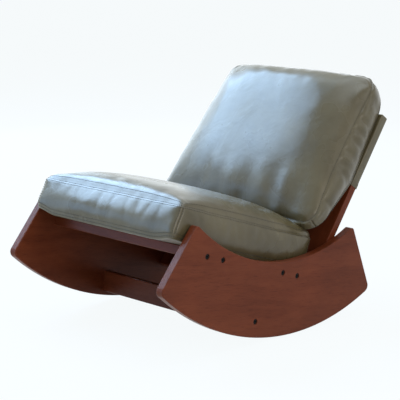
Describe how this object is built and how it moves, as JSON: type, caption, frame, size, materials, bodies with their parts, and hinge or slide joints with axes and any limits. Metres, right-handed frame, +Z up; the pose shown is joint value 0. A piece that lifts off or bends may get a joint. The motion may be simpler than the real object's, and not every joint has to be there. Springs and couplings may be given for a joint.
{
  "type": "rocking chair",
  "caption": "Low rocking lounge chair with crescent wooden side panels as rockers, and loose leather seat and back cushions on a bolted frame.",
  "frame": {"origin": "the point on the floor midway between the two rocker panels, below the centre of the rocker arc, where the chair touches the floor at rest", "axes": "+Z up, -Y the way the sitter faces, +X to the sitter's left"},
  "size_m": [0.625, 0.8953, 0.6703],
  "materials": {
    "stained_wood": "satin varnish over red-brown stain",
    "dowel_wood": "plain, unfinished",
    "leather": "soft grey leather with a low sheen",
    "webbing": "woven elastic webbing",
    "foam": "matt foam",
    "wadding": "matt quilted wadding",
    "zip_tape": "woven tape",
    "dark_steel": "black oxide"
  },
  "bodies": {
    "frame": {"back_bottom_rail": "stained_wood", "back_dowels": "dowel_wood", "back_middle_rail": "stained_wood", "back_top_rail": "stained_wood", "cleat_screws": "dark_steel", "front_rail_barrel_nuts": "dark_steel", "front_seat_rail": "stained_wood", "left_back_cleat": "stained_wood", "left_back_upright": "stained_wood", "left_bolt_washers": "dark_steel", "left_panel_bolts": "dark_steel", "left_rocker_panel": "stained_wood", "lower_stretcher": "stained_wood", "rear_rail_barrel_nuts": "dark_steel", "rear_seat_rail": "stained_wood", "right_back_cleat": "stained_wood", "right_back_upright": "stained_wood", "right_bolt_washers": "dark_steel", "right_panel_bolts": "dark_steel", "right_rocker_panel": "stained_wood", "seat_strap_1": "webbing", "seat_strap_2": "webbing", "seat_strap_3": "webbing", "seat_strap_4": "webbing", "seat_strap_5": "webbing", "strap_tacks": "dark_steel", "stretcher_barrel_nuts": "dark_steel", "stretcher_dowels": "dowel_wood", "upright_screws": "dark_steel"},
    "seat_cushion": {"seat_cushion_core": "foam", "seat_cushion_cover_base": "leather", "seat_cushion_cover_top": "leather", "seat_cushion_front_boxing": "leather", "seat_cushion_left_boxing": "leather", "seat_cushion_rear_boxing": "leather", "seat_cushion_right_boxing": "leather", "seat_cushion_zip": "zip_tape"},
    "back_cushion": {"back_cushion_baffles": "wadding", "back_cushion_bottom_boxing": "leather", "back_cushion_cover_front": "leather", "back_cushion_cover_rear": "leather", "back_cushion_insert": "wadding", "back_cushion_left_boxing": "leather", "back_cushion_right_boxing": "leather", "back_cushion_top_boxing": "leather", "back_cushion_zip": "zip_tape", "back_pocket_front": "leather", "back_pocket_gusset": "leather", "back_pocket_rear": "leather"}
  },
  "joints": [
    {"name": "seat_cushion_slide", "type": "slide", "parent": "frame", "child": "seat_cushion", "axis": [0, -0.9521, 0.3057], "range_m": [0, 0.55]},
    {"name": "back_cushion_lift", "type": "slide", "parent": "frame", "child": "back_cushion", "axis": [0, 0.5721, 0.8202], "range_m": [0, 0.3]}
  ]
}
